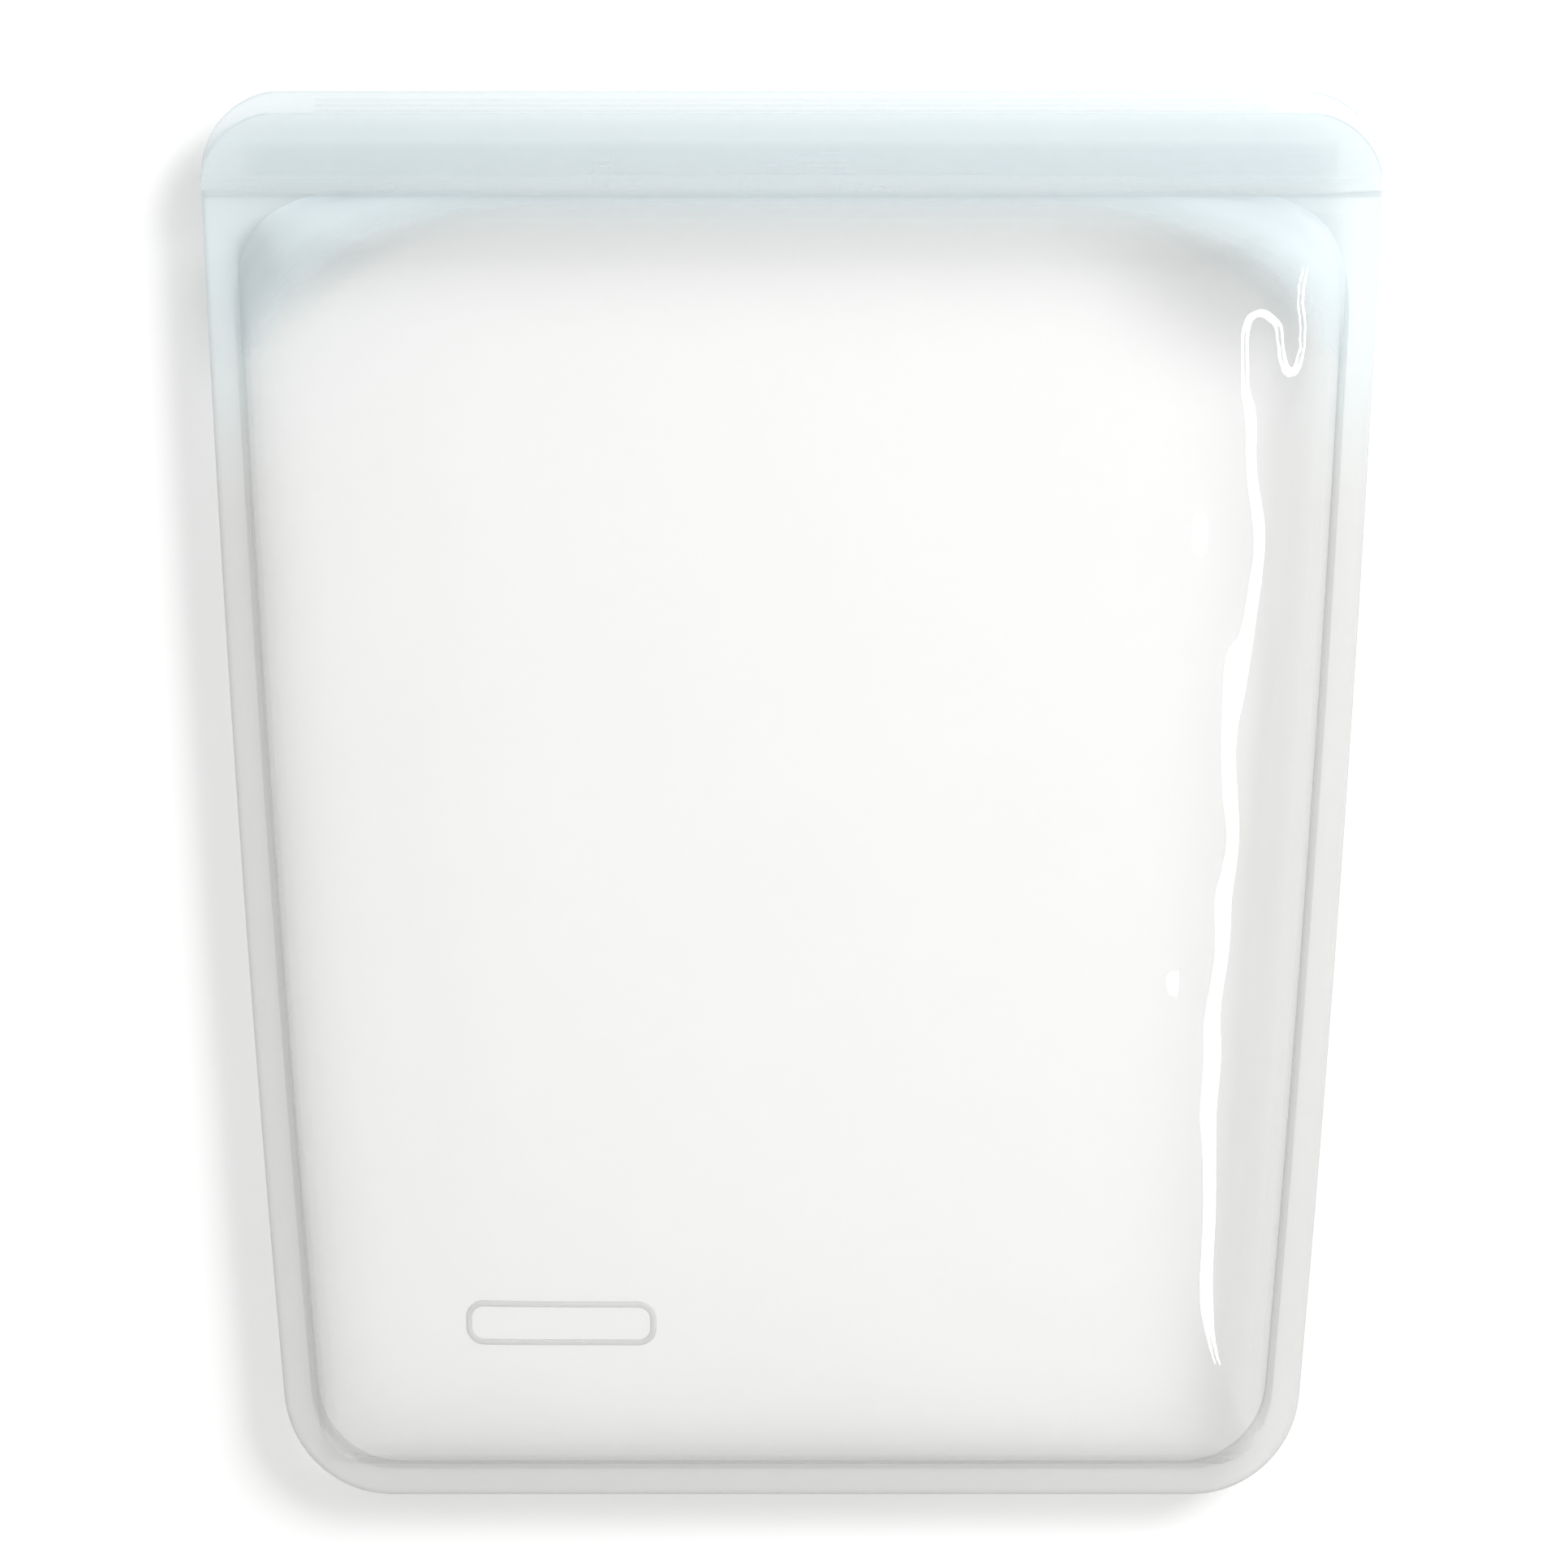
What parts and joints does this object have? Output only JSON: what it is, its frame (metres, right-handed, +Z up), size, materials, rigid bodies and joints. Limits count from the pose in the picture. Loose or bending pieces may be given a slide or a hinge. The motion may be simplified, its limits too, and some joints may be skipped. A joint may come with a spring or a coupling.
{
  "type": "reusable silicone storage bag",
  "caption": "Flat tapered food bag in clear soft silicone, lying on its back and filled to a pillow, with a milky rim all round, a pinch seal across the mouth and a longer back lip.",
  "frame": {"origin": "under the middle of the bag's box, on the surface it lies on", "axes": "+X across the mouth to the right, +Y towards the mouth, +Z up out of the front sheet"},
  "size_m": [0.2104, 0.2502, 0.04],
  "materials": {
    "clear_silicone": "clear, glossy",
    "milky_silicone": "translucent, satin",
    "seal_silicone": "translucent, satin",
    "raised_mark": "frosted, raised"
  },
  "bodies": {
    "pouch": {"back_wall": "clear_silicone", "front_wall": "clear_silicone", "base_rim": "milky_silicone", "left_base_corner": "milky_silicone", "right_base_corner": "milky_silicone", "left_side_rim": "milky_silicone", "right_side_rim": "milky_silicone", "left_corner_web": "milky_silicone", "right_corner_web": "milky_silicone", "label_frame": "raised_mark"},
    "front_mouth": {"front_throat": "clear_silicone", "front_seal_band": "milky_silicone", "front_lip": "milky_silicone", "seal_tongue": "seal_silicone"},
    "back_mouth": {"back_seal_band": "milky_silicone", "back_lip": "milky_silicone", "seal_upper_ridge": "seal_silicone", "seal_lower_ridge": "seal_silicone", "left_seal_stop": "seal_silicone", "right_seal_stop": "seal_silicone", "grip_ribs": "milky_silicone"}
  },
  "joints": [
    {"name": "mouth_open", "type": "hinge", "parent": "pouch", "child": "front_mouth", "pos_m": [0, 0.0779, 0.037], "axis": [1, 0, 0], "range_deg": [0, 45], "stiffness_Nm_per_rad": 0.02, "springref_deg": -5.73},
    {"name": "back_lip_peel", "type": "hinge", "parent": "pouch", "child": "back_mouth", "pos_m": [0, 0.1071, 0.0098], "axis": [-1, 0, 0], "range_deg": [0, 30], "stiffness_Nm_per_rad": 0.02, "springref_deg": -11.46}
  ]
}
